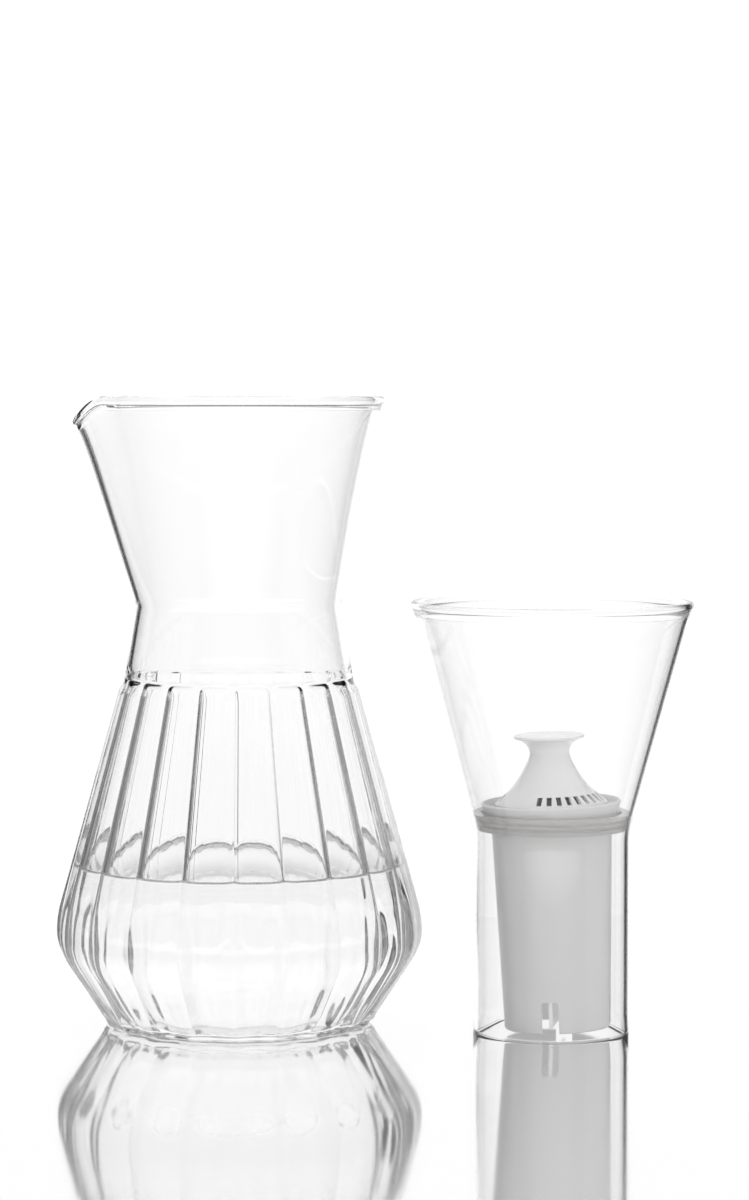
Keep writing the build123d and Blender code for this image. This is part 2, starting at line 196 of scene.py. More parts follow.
class CarafeForm:
    """The carafe's shape: radius of each wall at any angle and height."""

    CLUSTER = (0.0, 0.022, 0.05, 0.095, 0.17, 0.28, 0.43, 0.61, 0.8)

    def __init__(self, size: CarafeSize) -> None:
        self.size = size
        half = list(self.CLUSTER) + [1.0]
        marks = half + [2 - t for t in reversed(half[1:-1])]
        pitch = 360 / size.flutes
        self.angles = [pitch * (k + t / 2) for k in range(size.flutes) for t in marks]

    def body(self, z: float) -> float:
        """Radius over the ridges at height z."""
        s = self.size
        if z <= s.belly_low_z:
            return s.belly_r - s.lower_slope * (s.belly_low_z - z + (s.belly_z - s.belly_low_z) / 2)
        if z >= s.belly_top_z:
            return s.belly_r - s.upper_slope * (z - s.belly_top_z + (s.belly_top_z - s.belly_z) / 2)
        if z < s.belly_z:
            part = (s.belly_z - z) / (s.belly_z - s.belly_low_z)
            return s.belly_r - s.lower_slope * (s.belly_z - s.belly_low_z) / 2 * part**2
        part = (z - s.belly_z) / (s.belly_top_z - s.belly_z)
        return s.belly_r - s.upper_slope * (s.belly_top_z - s.belly_z) / 2 * part**2

    def collar(self, z: float) -> float:
        """Radius of the plain stretch between the step and the waist."""
        s = self.size
        foot = self.body(s.flute_top_z) - s.step_in
        return foot + (s.waist_r - foot) * (z - s.flute_top_z) / (s.waist_z - s.flute_top_z)

    def rise(self, z: float) -> float:
        """0 below the belly's widest line, easing to 1 above it."""
        return ease((z - self.size.belly_z) / (2 * (self.size.belly_top_z - self.size.belly_z)))

    def outer(self, angle: float, z: float) -> float:
        """Radius of the outer face below the waist."""
        s = self.size
        if z >= s.flute_top_z:
            return self.collar(z)
        ripple = s.ripple_low + (s.ripple_high - s.ripple_low) * self.rise(z)
        wave = ripple * (1 - math.cos(math.radians(angle * s.flutes))) / 2
        if z < s.heel_z:
            lift = z / s.heel_z
            return s.base_r + (self.body(s.heel_z) - s.base_r) * math.sqrt(max(1 - (1 - lift) ** 2, 0)) - wave
        mix = ease((z - (s.flute_top_z - s.step_h)) / s.step_h)
        return self.body(z) - wave * (1 - mix) + (self.collar(s.flute_top_z) - self.body(z)) * mix

    def rib(self, angle: float, z: float, radius: float) -> float:
        """How far the inner face stands in from a channel's depth, ribs and panel tops included.

        Args:
            angle: angle in degrees.
            z: height in millimetres.
            radius: radius at a channel's depth in millimetres.

        Returns:
            The distance in millimetres.
        """
        s = self.size
        half = radius * math.pi / s.flutes
        across = abs((angle * s.flutes / 360 + 0.5) % 1 - 0.5) * 2 * half
        below = s.flute_top_z - z
        depth = min(across, below)
        if across < s.panel_corner_r and below < s.panel_corner_r:
            depth = s.panel_corner_r - math.hypot(s.panel_corner_r - across, s.panel_corner_r - below)
        depth = max(depth, 0.0)
        run = (math.hypot(depth, s.rib_round) - s.rib_round) / half
        power = s.rib_power_low + (s.rib_power_high - s.rib_power_low) * self.rise(z)
        return s.rib_proud * radius * (1 - min(run, 1.0)) ** power

    def inner(self, angle: float, z: float) -> float:
        """Radius of the inner face below the waist."""
        s = self.size
        if z >= s.flute_top_z:
            foot = (self.body(s.flute_top_z) - s.wall) * (1 - s.rib_proud)
            plain = self.collar(s.flute_top_z) - s.wall
            return self.collar(z) - s.wall + (foot - plain) * (1 - ease((z - s.flute_top_z) / s.step_h))
        part = max(1 - (z - s.floor) / s.floor_corner_r, 0.0)
        fade = math.sqrt(max(1 - part * part, 0.0))
        channel = self.body(z) - s.wall - s.floor_corner_reach * (1 - fade)
        return channel - self.rib(angle, z, channel) * fade

    def neck(self, z: float) -> float:
        """Radius of the round part of the neck."""
        s = self.size
        rise = z - s.waist_z
        return s.waist_r + s.neck_flare * rise + s.neck_curl * rise**3

    def keel(self, z: float) -> float:
        """Reach of the lip's keel."""
        s = self.size
        rise = z - s.waist_z
        curl = s.keel_curl * (rise / (s.height - s.lip_drop - s.waist_z)) ** s.keel_curl_power
        return s.waist_r + s.keel_slope * rise + curl

    def neck_point(self, angle: float, z: float, inset: float) -> Point:
        """A point of the neck's wall, the drawn lip included."""
        s = self.size
        off = abs(angle - 180) / s.lip_half_angle
        window = (1 + math.cos(math.pi * off)) / 2 if off < 1 else 0.0
        reach = max(self.keel(z) - self.neck(z), 0.0)
        radius = self.neck(z) + reach * window - inset
        turn = math.radians(angle)
        return (radius * math.cos(turn), radius * math.sin(turn), z)

    def rim_z(self, angle: float) -> float:
        """Height of the rim's centre line, level and then dipping over the lip."""
        s = self.size
        level = s.height - s.bead_r
        start = s.lip_reach - self.neck(s.height)
        z = level
        for _ in range(30):
            x = self.neck_point(angle, z, s.wall / 2)[0]
            fall = min(max((start - x) / (2 * s.lip_reach), 0.0), 1.0)
            z = (z + level - s.lip_drop * fall**1.5) / 2
        return z


class Carafe:
    """The glass vessel and the water in it."""

    WATER_Z = 67.3
    OVERLAP = 0.25
    CLIMB = 1.9
    CAPILLARY = 1.9

    def __init__(self, form: CarafeForm) -> None:
        self.form = form
        self.rims = [form.rim_z(a) for a in form.angles]

    def _ring(self, radius: Callable[[float, float], float], z: float) -> Loop:
        turns = [(radius(a, z), math.radians(a)) for a in self.form.angles]
        return [(r * math.cos(t), r * math.sin(t), z) for r, t in turns]

    def _outer_rows(self) -> list[Loop]:
        s = self.form.size
        rows = [around(r, 0.0, self.form.angles) for r in spread(6.0, s.base_r * 0.86, 5)]
        rows += [self._ring(self.form.outer, 0.0)]
        heights = [s.heel_z * (1 - math.cos(t)) for t in spread(0.3, math.pi / 2, 6)]
        heights += spread(s.heel_z, s.belly_low_z, 12)[1:]
        heights += spread(s.belly_low_z, s.belly_top_z, 26)[1:]
        heights += spread(s.belly_top_z, s.flute_top_z - s.step_h, 24)[1:]
        heights += spread(s.flute_top_z - s.step_h, s.flute_top_z, 14)[1:]
        heights += spread(s.flute_top_z, s.waist_z - 2, 8)[1:]
        rows += [self._ring(self.form.outer, z) for z in heights]
        return rows

    def _wall_row(self, part: float, inset: float) -> Loop:
        s = self.form.size
        row = []
        for angle, rim in zip(self.form.angles, self.rims):
            top = rim - s.bead_r * math.sin(math.radians(40))
            z = s.waist_z + part * (top - s.waist_z)
            row.append(self.form.neck_point(angle, z, inset))
        return row

    def _bead_row(self, turn: float) -> Loop:
        s = self.form.size
        out = s.wall / 2 - s.bead_r * math.cos(turn)
        lift = s.bead_r * math.sin(turn)
        row = []
        for angle, rim in zip(self.form.angles, self.rims):
            x, y, z = self.form.neck_point(angle, rim, out)
            row.append((x, y, z + lift))
        return row

    def _inner_heights(self, top: float) -> list[float]:
        """Heights of the inner face's rows from the floor's edge up, closest where it bends."""
        s = self.form.size
        low = s.floor + s.floor_corner_r
        heights = [s.floor + s.floor_corner_r * (1 - math.sin(t)) for t in spread(math.pi / 2, 0.0, 14)]
        heights += spread(low, s.belly_low_z, 8)[1:] + spread(s.belly_low_z, s.belly_top_z, 26)[1:]
        if top > s.flute_top_z:
            heights += spread(s.belly_top_z, s.flute_top_z - 9, 18)[1:]
            heights += spread(s.flute_top_z - 9, s.flute_top_z, 26)[1:]
            heights += spread(s.flute_top_z, s.flute_top_z + s.step_h, 8)[1:]
            return heights + spread(s.flute_top_z + s.step_h, top, 7)[1:]
        return heights + spread(s.belly_top_z, top, 10)[1:]

    def glass(self) -> bpy.types.Object:
        """Make the vessel as one closed skin.

        Returns:
            The vessel's object.
        """
        skin = Skin("carafe_glass_look")
        parts = spread(0.0, 1.0, 34)
        for row in self._outer_rows():
            skin.add(row)
        for part in parts:
            skin.add(self._wall_row(part, 0.0))
        for turn in spread(math.radians(-40), math.radians(220), 14):
            skin.add(self._bead_row(turn))
        for part in reversed(parts):
            skin.add(self._wall_row(part, self.form.size.wall))
        for z in reversed(self._inner_heights(self.form.size.waist_z - 2)):
            skin.add(self._ring(self.form.inner, z))
        for share in (0.8, 0.6, 0.4, 0.2):
            skin.add(self._ring(lambda a, z: self.form.inner(a, z) * share, self.form.size.floor))
        return skin.build(poles=((0, 0, 0), (0, 0, self.form.size.floor)))

    def water(self) -> bpy.types.Object:
        """Make the water, reaching a hair into the glass so that no air shows between them.

        Returns:
            The water's object.
        """
        floor = self.form.size.floor
        skin = Skin("water")

        def lay(z: float, lift: float, share: float = 1.0, inset: float = 0.0) -> None:
            row = self._ring(lambda a, h: (self.form.inner(a, h) - inset) * share, z)
            skin.add([(x, y, h + lift) for x, y, h in row])

        for share in (0.2, 0.4, 0.6, 0.8):
            lay(floor, -self.OVERLAP, share)
        for z in self._inner_heights(self.WATER_Z + self.CLIMB):
            sunk = min((z - floor) / self.form.size.floor_corner_r, 1.0)
            lay(z, -self.OVERLAP * (1 - sunk), 1.0, -self.OVERLAP)
        for away in (0.0, 0.35, 0.8, 1.4, 2.2, 3.2, 4.6, 6.6, 9.5):
            lay(self.WATER_Z, self.CLIMB * math.exp(-away / self.CAPILLARY), 1.0, away)
        skin.add(around(6.0, self.WATER_Z, self.form.angles))
        return skin.build(poles=((0, 0, floor - self.OVERLAP), (0, 0, self.WATER_Z)))


class Funnel:
    """The glass funnel, turned about its own axis."""

    def __init__(self, size: FunnelSize) -> None:
        self.size = size
        self.angles = spread(0.0, 360.0, 257)[:-1]

    def wall_line(self, inset: float) -> list[tuple[float, float]]:
        """Radius and height up the wall, with a rounded throat.

        Args:
            inset: distance in from the outer face in millimetres.

        Returns:
            The line's points from the foot to the bead.
        """
        s = self.size
        top = s.height - s.bead_r
        line = [(s.tube_r - inset, z) for z in spread(s.wall / 2, s.tube_top_z - s.throat_round, 12)]
        for z in spread(s.tube_top_z - s.throat_round, s.tube_top_z + s.throat_round, 12)[1:]:
            part = z - (s.tube_top_z - s.throat_round)
            line.append((s.tube_r + s.cone_slope * part**2 / (4 * s.throat_round) - inset, z))
        for z in spread(s.tube_top_z + s.throat_round, top, 20)[1:]:
            line.append((s.tube_r + s.cone_slope * (z - s.tube_top_z) - inset, z))
        return line

    def glass(self) -> bpy.types.Object:
        """Make the funnel as one closed ring of section.

        Returns:
            The funnel's object.
        """
        s = self.size
        outer, inner = self.wall_line(0.0), self.wall_line(s.wall)
        rim_r = (outer[-1][0] + inner[-1][0]) / 2
        rim_z = s.height - s.bead_r
        line = list(outer[:-1])
        turns = spread(-0.9, math.pi + 0.9, 16)
        line += [(rim_r + s.bead_r * math.cos(t), rim_z + s.bead_r * math.sin(t)) for t in turns]
        line += list(reversed(inner[:-1]))
        foot_r, edge = s.tube_r - s.wall / 2, s.wall / 2
        line += [(foot_r - edge * math.cos(t), edge - edge * math.sin(t)) for t in spread(0.25, math.pi - 0.25, 9)]
        skin = Skin("funnel_glass_look")
        for r, z in line:
            skin.add(around(r, z, self.angles, s.x, s.y))
        return skin.build()


@dataclass(frozen=True)
class CartridgeSize:
    """Sizes of the filter cartridge in millimetres, about its own upright axis."""

    tilt: float = 1.9
    pivot_z: float = 90.0
    foot_r: float = 22.2
    foot_z: float = 2.3
    top_r: float = 25.3
    wall: float = 1.5
    flange_foot_r: float = 27.5
    flange_r: float = 29.2
    flange_z: float = 95.5
    rim_lift: float = 1.1
    rim_t: float = 1.2
    channel_depth: float = 1.6
    mouth_r: float = 20.5
    bell_r: float = 23.5
    drain_z: float = 16.5
    drain_t: float = 1.6
    notches: int = 4
    notch_w: float = 6.7
    notch_h: float = 12.9
    notch_turn: float = -10.5
    fin_t: float = 1.5
    fin_gap: float = 2.0
    slot_w: float = 2.1
    slot_h: float = 3.1
    slot_rise: float = 1.4
    slot_pitch: float = 11.25
    slots: int = 11
    slot_start: float = -106.0


@dataclass(frozen=True)
class Fan:
    """How a bar is repeated about an axis, in degrees."""

    count: int
    start: float
    pitch: float


class Repeat:
    """A Geometry Nodes tree that repeats a bar about a leaning axis."""

    INPUTS = (
        ("Count", "Int"),
        ("Start", "Float"),
        ("Pitch", "Float"),
        ("Lean", "Float"),
        ("Place", "Vector"),
        ("Material", "Material"),
    )

    def __init__(self) -> None:
        tree = bpy.data.node_groups.new("repeat_about_axis", "GeometryNodeTree")
        tree.interface.new_socket(name="Geometry", in_out="INPUT", socket_type="NodeSocketGeometry")
        tree.interface.new_socket(name="Geometry", in_out="OUTPUT", socket_type="NodeSocketGeometry")
        self.keys = {}
        for name, kind in self.INPUTS:
            socket = tree.interface.new_socket(name=name, in_out="INPUT", socket_type=f"NodeSocket{kind}")
            self.keys[name] = socket.identifier
        nodes, link = tree.nodes, tree.links.new
        start, end = nodes.new("NodeGroupInput"), nodes.new("NodeGroupOutput")
        points = nodes.new("GeometryNodePoints")
        turn = nodes.new("ShaderNodeMath")
        turn.operation = "MULTIPLY_ADD"
        upright = nodes.new("ShaderNodeCombineXYZ")
        copies = nodes.new("GeometryNodeInstanceOnPoints")
        solid = nodes.new("GeometryNodeRealizeInstances")
        sideways = nodes.new("ShaderNodeCombineXYZ")
        place = nodes.new("GeometryNodeTransform")
        paint = nodes.new("GeometryNodeSetMaterial")
        link(start.outputs["Count"], points.inputs["Count"])
        link(nodes.new("GeometryNodeInputIndex").outputs["Index"], turn.inputs[0])
        link(start.outputs["Pitch"], turn.inputs[1])
        link(start.outputs["Start"], turn.inputs[2])
        link(turn.outputs[0], upright.inputs["Z"])
        link(points.outputs[0], copies.inputs["Points"])
        link(start.outputs["Geometry"], copies.inputs["Instance"])
        link(upright.outputs[0], copies.inputs["Rotation"])
        link(copies.outputs[0], solid.inputs[0])
        link(start.outputs["Lean"], sideways.inputs["Y"])
        link(solid.outputs[0], place.inputs["Geometry"])
        link(sideways.outputs[0], place.inputs["Rotation"])
        link(start.outputs["Place"], place.inputs["Translation"])
        link(place.outputs[0], paint.inputs["Geometry"])
        link(start.outputs["Material"], paint.inputs["Material"])
        link(paint.outputs[0], end.inputs["Geometry"])
        self.tree = tree

    def spread(self, thing: bpy.types.Object, fan: Fan, lean: float, place: Point) -> None:
        """Turn an object's one bar into a plain mesh of all of them.

        Args:
            thing: the object, whose mesh holds the bar about an upright axis.
            fan: how many bars there are and where.
            lean: how far the axis leans, in degrees.
            place: the axis's foot in millimetres.
        """
        step = thing.modifiers.new("repeat", "NODES")
        step.node_group = self.tree
        turns = (math.radians(fan.start), math.radians(fan.pitch), -math.radians(lean))
        values = (fan.count, *turns, [v * MM for v in place])
        for (name, _), value in zip(self.INPUTS, values):
            step[self.keys[name]] = value
        graph = bpy.context.evaluated_depsgraph_get()
        mesh = bpy.data.meshes.new_from_object(thing.evaluated_get(graph))
        thing.modifiers.clear()
        thing.data = mesh


class Cartridge:
    """The white cup and the slotted bell, both seated a little crooked in the funnel.

    The cup leaves out the CAD cup's drain holes, and its flare passes 0.08 mm into the seat ring.
    """

    STEPS = 160
    BELL = ((23.5, 0.6), (21.6, 2.2), (19.6, 3.9), (17.7, 5.4), (15.9, 7.2), (14.3, 9.3), (12.7, 11.6), (11.3, 14.0),
            (10.0, 16.4), (8.95, 18.6), (8.35, 20.5), (8.25, 22.0), (8.7, 23.6), (9.7, 25.1), (11.2, 26.3),
            (12.9, 27.05), (14.2, 27.4), (14.7, 27.85), (14.7, 28.4), (14.3, 28.85), (13.6, 28.95), (12.8, 28.75),
            (11.6, 28.3), (9.0, 28.0), (4.0, 27.9))

    def __init__(self, size: CartridgeSize, funnel: FunnelSize) -> None:
        self.size = size
        self.funnel = funnel
        self.repeat = Repeat()

    def seat(self, x: float, y: float, z: float) -> Point:
        """Carry a point of the upright cartridge to its place in the funnel.

        Args:
            x: millimetres from the cartridge's axis.
            y: millimetres from the cartridge's axis.
            z: height in millimetres.

        Returns:
            The point in the part's frame, in millimetres.
        """
        lean = math.radians(self.size.tilt)
        rise = z - self.size.pivot_z
        across = x * math.cos(lean) - rise * math.sin(lean)
        up = x * math.sin(lean) + rise * math.cos(lean)
        return (self.funnel.x + across, self.funnel.y + y, self.size.pivot_z + up)

    def _turned(self, name: str, line: Sequence[tuple[float, float]]) -> bpy.types.Object:
        skin = Skin(name)
        turns = [2 * math.pi * i / self.STEPS for i in range(self.STEPS)]
        for r, z in line:
            skin.add([self.seat(r * math.cos(t), r * math.sin(t), z) for t in turns])
        return skin.build(poles=(self.seat(0, 0, line[0][1]), self.seat(0, 0, line[-1][1])))

    def _fan(
        self, name: str, reach: tuple[float, float], outline: Sequence[tuple[float, float]], fan: Fan
    ) -> bpy.types.Object:
        """Repeat a bar about the cartridge's axis.

        Args:
            name: the object's name.
            reach: where the bar starts and ends, in millimetres from the axis.
            outline: the bar's section as (side, height) pairs in millimetres.
            fan: how many bars there are and where.

        Returns:
            The bars as one plain mesh object.
        """
        count = len(outline)
        points = [(r * MM, side * MM, (z - self.size.pivot_z) * MM) for r in reach for side, z in outline]
        faces = [tuple(reversed(range(count))), tuple(range(count, 2 * count))]
        faces += [(i, (i + 1) % count, count + (i + 1) % count, count + i) for i in range(count)]
        mesh = bpy.data.meshes.new(name)
        mesh.from_pydata(points, [], faces)
        thing = bpy.data.objects.new(name, mesh)
        bpy.context.scene.collection.objects.link(thing)
        self.repeat.spread(thing, fan, self.size.tilt, self.seat(0, 0, self.size.pivot_z))
        return thing

    def _cut(self, thing: bpy.types.Object, cutter: bpy.types.Object, kind: str) -> None:
        """Carry out one exact boolean on a piece and drop the other object."""
        step = thing.modifiers.new("cut", "BOOLEAN")
        step.operation = kind
        step.solver = "EXACT"
        step.object = cutter
        graph = bpy.context.evaluated_depsgraph_get()
        mesh = bpy.data.meshes.new_from_object(thing.evaluated_get(graph))
        thing.modifiers.clear()
        thing.data = mesh
        bpy.data.objects.remove(cutter)
        mesh.shade_smooth()
        mesh.set_sharp_from_angle(angle=math.radians(32))

    def bell(self) -> bpy.types.Object:
        """Make the cap: a bell with two groups of slots under a dished knob, its inward faces in a near-black painted
        shade.

        Returns:
            The cap's object.
        """
        s = self.size
        outside = [(r, s.flange_z + z) for r, z in self.BELL]
        foot = s.flange_z - s.channel_depth
        inside = [(r - s.wall * 0.8, z - s.wall * 0.6) for r, z in outside[1:9]]
        line = [(4.0, inside[-1][1])] + list(reversed(inside))
        line += [(s.bell_r - s.wall, s.flange_z), (s.bell_r - s.wall, foot), (s.bell_r, foot), (s.bell_r, s.flange_z)]
        cap = self._turned("filter_cap_look", line + outside)
        low, side = s.flange_z + s.slot_rise, s.slot_w / 2
        outline = [(-side, low), (side, low), (side, low + s.slot_h), (-side, low + s.slot_h)]
        for start in (s.slot_start, s.slot_start + 180):
            self._cut(cap, self._fan("slots", (14.0, 26.0), outline, Fan(s.slots, start, s.slot_pitch)), "DIFFERENCE")
        # Inward faces inside the bell take material index 1, a near-black painted shade that darkens the bell's inside
        # and its slots.
        for face in cap.data.polygons:
            centre = face.center - Vector(self.seat(0, 0, face.center.z / MM)) * MM
            inward = centre.x * face.normal.x + centre.y * face.normal.y < -0.15 * math.hypot(centre.x, centre.y)
            within = centre.length < (s.bell_r - 0.4) * MM and face.center.z < (s.flange_z + 24) * MM
            face.material_index = int(inward and within)
        return cap

    def cup(self) -> bpy.types.Object:
        """Make the cup: its flange, notched skirt, drain floor and crossed fins.

        Returns:
            The cup's object.
        """
        s = self.size
        rim = s.flange_z + s.rim_lift
        channel = s.flange_z - s.channel_depth
        inner_foot, inner_top = s.foot_r - s.wall, s.top_r - s.wall
        drain_r = s.foot_r + (s.top_r - s.foot_r) * (s.drain_z - s.foot_z) / (s.pivot_z - s.foot_z) - s.wall
        line = [(4.0, s.drain_z - s.drain_t), (drain_r, s.drain_z - s.drain_t), (inner_foot, s.foot_z + 0.5)]
        line += [(inner_foot + 0.4, s.foot_z), (s.foot_r - 0.4, s.foot_z), (s.foot_r, s.foot_z + 0.5)]
        line += [(s.top_r - 0.05, s.pivot_z - 1.2), (s.top_r + 0.5, s.pivot_z - 0.2)]
        line += [(s.flange_foot_r - 0.7, s.pivot_z)]
        line += [(s.flange_foot_r, s.pivot_z + 0.6), (s.flange_r, rim - 0.5), (s.flange_r - 0.35, rim)]
        line += [(s.flange_r - s.rim_t + 0.2, rim), (s.flange_r - s.rim_t, rim - 0.4)]
        line += [(s.flange_r - s.rim_t - 0.2, channel), (s.mouth_r, channel), (s.mouth_r, s.pivot_z)]
        line += [(inner_top, s.pivot_z - 0.5), (drain_r, s.drain_z), (4.0, s.drain_z)]
        cup = self._turned("filter_cup_look", line)
        half, top, corner = s.notch_w / 2, s.foot_z + s.notch_h, 1.1
        outline = [(-half - 0.25, s.foot_z - 2), (half + 0.25, s.foot_z - 2), (half, top - corner)]
        in_x, in_z = half - corner, top - corner
        outline += [(in_x + corner * math.cos(t), in_z + corner * math.sin(t)) for t in spread(0.3, 1.57, 5)]
        outline += [(-in_x - corner * math.sin(t), in_z + corner * math.cos(t)) for t in spread(0.0, 1.27, 5)]
        outline += [(-half, in_z)]
        notches = Fan(s.notches, s.notch_turn, 360 / s.notches)
        self._cut(cup, self._fan("notches", (16.0, 28.0), outline, notches), "DIFFERENCE")
        low, high, side = s.foot_z + s.fin_gap, s.drain_z - s.drain_t / 2, s.fin_t / 2
        outline = [(-side, low), (side, low), (side, high), (-side, high)]
        for turn in (s.notch_turn, s.notch_turn + 90):
            self._cut(cup, self._fan("fin", (-inner_foot, inner_foot), outline, Fan(1, turn, 0.0)), "UNION")
        return cup


@dataclass(frozen=True)
class Finish:
    """A surface finish: its plain numbers and how its colour and relief vary over the piece."""

    name: str
    colour: tuple[float, float, float]
    roughness: float
    ior: float = 1.5
    transmission: float = 0.0
    grain: float = 0.0
    grain_scale: float = 900.0
    mottle: float = 0.0
    mottle_scale: float = 60.0
    # Strength of a painted glow: emission over a mask that stands in for light, though the piece is no lamp.
    glow: float = 0.0


CLEAR = Finish("clear_glass", (1.0, 1.0, 1.0), 0.0, Ior.GLASS.value, 1.0, grain=0.012, grain_scale=45.0)
FUNNEL_CLEAR = Finish("funnel_clear_glass", (1.0, 1.0, 1.0), 0.0, Ior.GLASS.value, 1.0, grain=0.006, grain_scale=35.0)
WATER = Finish("water", (1.0, 1.0, 1.0), 0.0, Ior.WATER.value, 1.0, grain=0.002, grain_scale=20.0)
SILICONE = Finish("silicone", (0.87, 0.86, 0.85), 0.16, 1.42, 0.5, grain=0.03, mottle=0.08, mottle_scale=140.0)
CAP_WHITE = Finish("white_cap", (0.78, 0.78, 0.78), 0.22, grain=0.02, mottle=0.03)
# Painted shade: near-black, laid on the bell's inward faces so that the inside and the slots read dark.
CAP_PAINTED_SHADE = Finish("cap_inside_painted_shade", (0.08, 0.08, 0.08), 0.5, grain=0.02, mottle=0.03)
# The cup's glow is a painted glow in its foot, standing in for light through the thin plastic wall.
CUP_WHITE = Finish("white_cup", (0.78, 0.78, 0.78), 0.3, grain=0.02, mottle=0.03, glow=0.13)
MESH_GREY = Finish(
    "woven_mesh", (0.2, 0.2, 0.19), 0.7, grain=0.3, grain_scale=1500.0, mottle=0.5, mottle_scale=1500.0
)
GRANULES = Finish(
    "granules", (0.05, 0.045, 0.04), 0.8, grain=0.8, grain_scale=1100.0, mottle=0.7, mottle_scale=1100.0
)


class Groups:
    """Node groups that several materials share."""

    def __init__(self) -> None:
        self.mottle = self._mottle()
        self.grain = self._grain()
        self.painted_glow_mask = self._painted_glow_mask()

    @staticmethod
    def _socket(tree: bpy.types.NodeTree, name: str, way: str, kind: str = "Float", value: float | None = None) -> None:
        socket = tree.interface.new_socket(name=name, in_out=way, socket_type=f"NodeSocket{kind}")
        if value is not None:
            socket.default_value = value

    def _mottle(self) -> bpy.types.NodeTree:
        """A value about 1 that wanders over the surface."""
        tree = bpy.data.node_groups.new("mottle", "ShaderNodeTree")
        self._socket(tree, "Vector", "INPUT", "Vector")
        self._socket(tree, "Scale", "INPUT", value=60.0)
        self._socket(tree, "Amount", "INPUT", value=0.05)
        self._socket(tree, "Value", "OUTPUT")
        start, end = tree.nodes.new("NodeGroupInput"), tree.nodes.new("NodeGroupOutput")
        noise = tree.nodes.new("ShaderNodeTexNoise")
        noise.inputs["Detail"].default_value = 3.0
        centre = tree.nodes.new("ShaderNodeMath")
        centre.operation = "SUBTRACT"
        centre.inputs[1].default_value = 0.5
        sway = tree.nodes.new("ShaderNodeMath")
        sway.operation = "MULTIPLY_ADD"
        sway.inputs[2].default_value = 1.0
        tree.links.new(start.outputs["Vector"], noise.inputs["Vector"])
        tree.links.new(start.outputs["Scale"], noise.inputs["Scale"])
        tree.links.new(noise.outputs["Fac"], centre.inputs[0])
        tree.links.new(centre.outputs[0], sway.inputs[0])
        tree.links.new(start.outputs["Amount"], sway.inputs[1])
        tree.links.new(sway.outputs[0], end.inputs["Value"])
        return tree

    def _grain(self) -> bpy.types.NodeTree:
        """A surface normal with a fine even relief."""
        tree = bpy.data.node_groups.new("grain", "ShaderNodeTree")
        self._socket(tree, "Vector", "INPUT", "Vector")
        self._socket(tree, "Scale", "INPUT", value=900.0)
        self._socket(tree, "Strength", "INPUT", value=0.02)
        self._socket(tree, "Normal", "OUTPUT", "Vector")
        start, end = tree.nodes.new("NodeGroupInput"), tree.nodes.new("NodeGroupOutput")
        noise = tree.nodes.new("ShaderNodeTexNoise")
        noise.inputs["Detail"].default_value = 1.0
        bump = tree.nodes.new("ShaderNodeBump")
        bump.inputs["Distance"].default_value = 0.001
        tree.links.new(start.outputs["Vector"], noise.inputs["Vector"])
        tree.links.new(start.outputs["Scale"], noise.inputs["Scale"])
        tree.links.new(noise.outputs["Fac"], bump.inputs["Height"])
        tree.links.new(start.outputs["Strength"], bump.inputs["Strength"])
        tree.links.new(bump.outputs["Normal"], end.inputs["Normal"])
        return tree

    def _painted_glow_mask(self) -> bpy.types.NodeTree:
        """1 within a radius of the cup's foot and below a height, where the skirt gets a painted glow standing in for
        light through its thin wall.
        """
        tree = bpy.data.node_groups.new("painted_glow_mask", "ShaderNodeTree")
        self._socket(tree, "Vector", "INPUT", "Vector")
        self._socket(tree, "X", "INPUT", value=0.1337)
        self._socket(tree, "Y", "INPUT", value=-0.0185)
        self._socket(tree, "Radius", "INPUT", value=0.0214)
        self._socket(tree, "Height", "INPUT", value=0.02)
        self._socket(tree, "Mask", "OUTPUT")
        start, end = tree.nodes.new("NodeGroupInput"), tree.nodes.new("NodeGroupOutput")
        split = tree.nodes.new("ShaderNodeSeparateXYZ")
        centre, flat = tree.nodes.new("ShaderNodeCombineXYZ"), tree.nodes.new("ShaderNodeCombineXYZ")
        reach = tree.nodes.new("ShaderNodeVectorMath")
        reach.operation = "DISTANCE"
        near, low, both = (tree.nodes.new("ShaderNodeMath") for _ in range(3))
        near.operation, low.operation, both.operation = "LESS_THAN", "LESS_THAN", "MULTIPLY"
        link = tree.links.new
        link(start.outputs["Vector"], split.inputs["Vector"])
        for name in ("X", "Y"):
            link(start.outputs[name], centre.inputs[name])
            link(split.outputs[name], flat.inputs[name])
        link(centre.outputs[0], reach.inputs[0])
        link(flat.outputs[0], reach.inputs[1])
        link(reach.outputs["Value"], near.inputs[0])
        link(start.outputs["Radius"], near.inputs[1])
        link(split.outputs["Z"], low.inputs[0])
        link(start.outputs["Height"], low.inputs[1])
        link(near.outputs[0], both.inputs[0])
        link(low.outputs[0], both.inputs[1])
        link(both.outputs[0], end.inputs["Mask"])
        return tree


